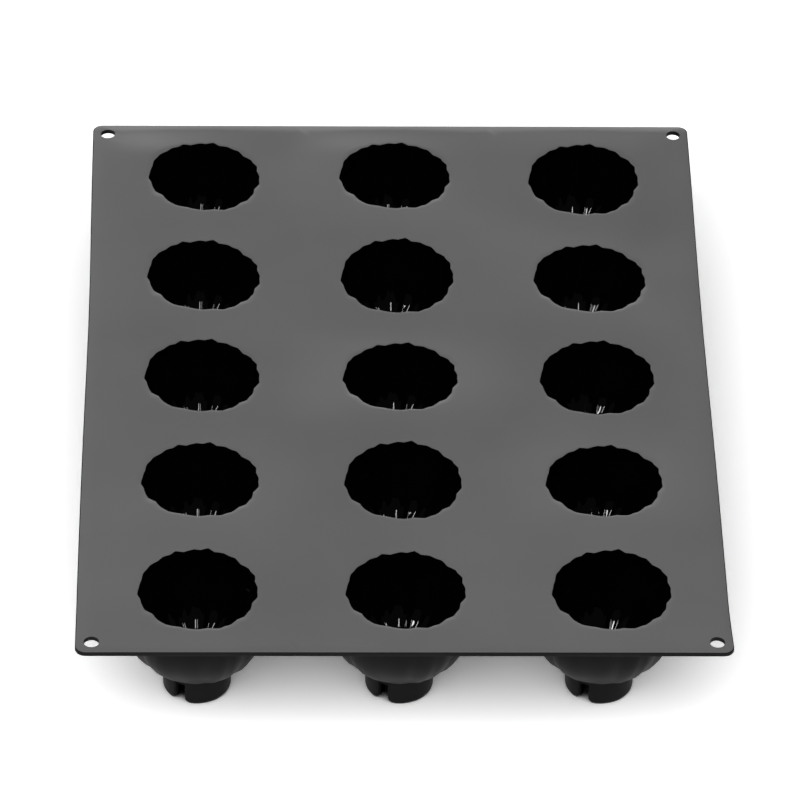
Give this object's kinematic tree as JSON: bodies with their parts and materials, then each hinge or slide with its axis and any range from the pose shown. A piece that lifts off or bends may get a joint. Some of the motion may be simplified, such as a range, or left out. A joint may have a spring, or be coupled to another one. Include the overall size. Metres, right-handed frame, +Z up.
{
  "type": "silicone baking mould",
  "caption": "One-piece silicone tray mould: a flat sheet with rows of round pleated cups for single portions, each on a slotted ring foot.",
  "frame": {"origin": "middle of the tray, on the surface that the feet stand on", "axes": "+X across the columns of cups, +Y along them to the back, +Z up out of the cups"},
  "size_m": [0.3, 0.4, 0.057],
  "materials": {
    "silicone": "satin moulded silicone on the sheet, polished inside the cups"
  },
  "bodies": {
    "root": {"silicone_mould": "silicone"}
  },
  "joints": []
}
